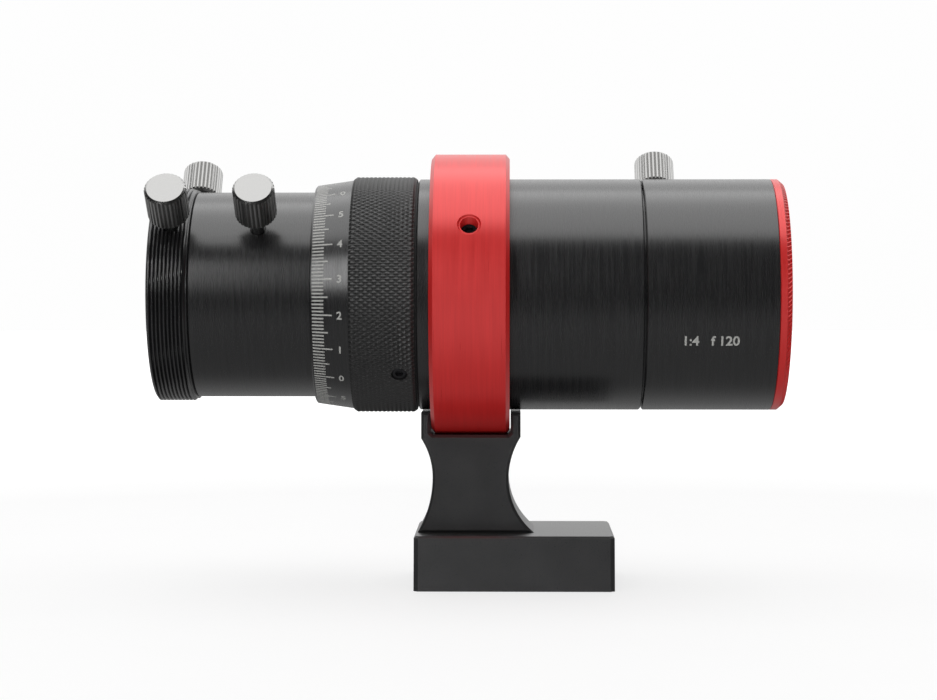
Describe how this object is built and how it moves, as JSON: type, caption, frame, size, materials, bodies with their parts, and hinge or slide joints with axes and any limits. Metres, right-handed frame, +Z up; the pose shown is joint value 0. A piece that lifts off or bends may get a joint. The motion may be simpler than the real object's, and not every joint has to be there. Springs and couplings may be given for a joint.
{
  "type": "guide scope",
  "caption": "Small refractor guide scope with a helical focuser, sliding dew shield and thumbscrews, held in a ring on a waisted dovetail foot.",
  "frame": {"origin": "centre of the flat underside of the dovetail foot", "axes": "+X along the optical axis towards the objective, +Z up, the camera side is at -X"},
  "size_m": [0.1231, 0.0554, 0.0863],
  "materials": {
    "foot_black": "bead blasted black anodised",
    "tube_black": "finely turned black anodised",
    "ring_red": "satin red anodised",
    "screw_metal": "turned and satin finished",
    "black_screw": "black oxide",
    "glass": "coated optical glass",
    "brass": "turned brass",
    "nylon": "moulded nylon",
    "ptfe": "graphite filled, cut from sheet",
    "felt": "black felt",
    "inner_black": "matt black inside the light path"
  },
  "bodies": {
    "scope": {"dovetail_foot": "foot_black", "post": "foot_black", "clamp_ring": "ring_red", "bracket_screws": "black_screw", "clamp_set_screws": "black_screw", "clamp_screw_tips": "nylon", "main_tube": "tube_black", "lens_cell": "inner_black", "lens_retainer": "inner_black", "flint_lens": "glass", "crown_lens": "glass", "lens_spacer": "inner_black", "baffle_front": "inner_black", "baffle_rear": "inner_black", "guide_sleeve": "inner_black", "guide_key": "black_screw", "nut_retainer": "inner_black", "thrust_washer": "ptfe"},
    "focus_ring": {"helix_nut": "brass", "cam_pin": "screw_metal", "knurled_grip": "tube_black", "grip_set_screws": "black_screw", "scale_ring": "tube_black"},
    "drawtube": {"drawtube": "tube_black", "eyepiece_holder": "tube_black", "compression_ring": "brass"},
    "dew_shield": {"dew_shield": "tube_black", "shield_felt": "felt", "front_ring": "ring_red"},
    "nose_screw_near_pad": {"nose_screw_near_pad": "nylon"},
    "nose_screw_near": {"nose_screw_near": "screw_metal"},
    "nose_screw_far_pad": {"nose_screw_far_pad": "nylon"},
    "nose_screw_far": {"nose_screw_far": "screw_metal"},
    "focus_lock_pad": {"focus_lock_pad": "nylon"},
    "focus_lock": {"focus_lock": "screw_metal"},
    "shield_lock_pad": {"shield_lock_pad": "nylon"},
    "shield_lock": {"shield_lock": "screw_metal"}
  },
  "joints": [
    {"name": "focus_turn", "type": "hinge", "parent": "scope", "child": "focus_ring", "pos_m": [-0.025, 0, 0.057], "axis": [1, 0, 0], "range_deg": [-162, 162]},
    {"name": "drawtube_slide", "type": "slide", "parent": "scope", "child": "drawtube", "axis": [1, 0, 0], "range_m": [-0.0045, 0.0045]},
    {"name": "shield_slide", "type": "slide", "parent": "scope", "child": "dew_shield", "axis": [1, 0, 0], "range_m": [0, 0.009]},
    {"name": "nose_screw_near_travel", "type": "slide", "parent": "drawtube", "child": "nose_screw_near_pad", "axis": [0, -0.7771, 0.6293], "range_m": [0, 0.001]},
    {"name": "nose_screw_near_turn", "type": "hinge", "parent": "nose_screw_near_pad", "child": "nose_screw_near", "pos_m": [-0.066, -0.01943, 0.07273], "axis": [0, -0.7771, 0.6293], "range_deg": [0, 720]},
    {"name": "nose_screw_far_travel", "type": "slide", "parent": "drawtube", "child": "nose_screw_far_pad", "axis": [0, 0.6293, 0.7771], "range_m": [0, 0.001]},
    {"name": "nose_screw_far_turn", "type": "hinge", "parent": "nose_screw_far_pad", "child": "nose_screw_far", "pos_m": [-0.0641, 0.01573, 0.07643], "axis": [0, 0.6293, 0.7771], "range_deg": [0, 720]},
    {"name": "focus_lock_travel", "type": "slide", "parent": "drawtube", "child": "focus_lock_pad", "axis": [0, -0.7771, 0.6293], "range_m": [0, 0.001]},
    {"name": "focus_lock_turn", "type": "hinge", "parent": "focus_lock_pad", "child": "focus_lock", "pos_m": [-0.0493, -0.01943, 0.07273], "axis": [0, -0.7771, 0.6293], "range_deg": [0, 720]},
    {"name": "shield_lock_travel", "type": "slide", "parent": "dew_shield", "child": "shield_lock_pad", "axis": [0, 0.6293, 0.7771], "range_m": [0, 0.001]},
    {"name": "shield_lock_turn", "type": "hinge", "parent": "shield_lock_pad", "child": "shield_lock", "pos_m": [0.0288, 0.01573, 0.07643], "axis": [0, 0.6293, 0.7771], "range_deg": [0, 720]}
  ],
  "couplings": [
    {"joint": "drawtube_slide", "follows": "focus_turn", "m_per_rad": -0.0015915},
    {"joint": "nose_screw_near_travel", "follows": "nose_screw_near_turn", "m_per_rad": 0.000079577},
    {"joint": "nose_screw_far_travel", "follows": "nose_screw_far_turn", "m_per_rad": 0.000079577},
    {"joint": "focus_lock_travel", "follows": "focus_lock_turn", "m_per_rad": 0.000079577},
    {"joint": "shield_lock_travel", "follows": "shield_lock_turn", "m_per_rad": 0.000079577}
  ]
}
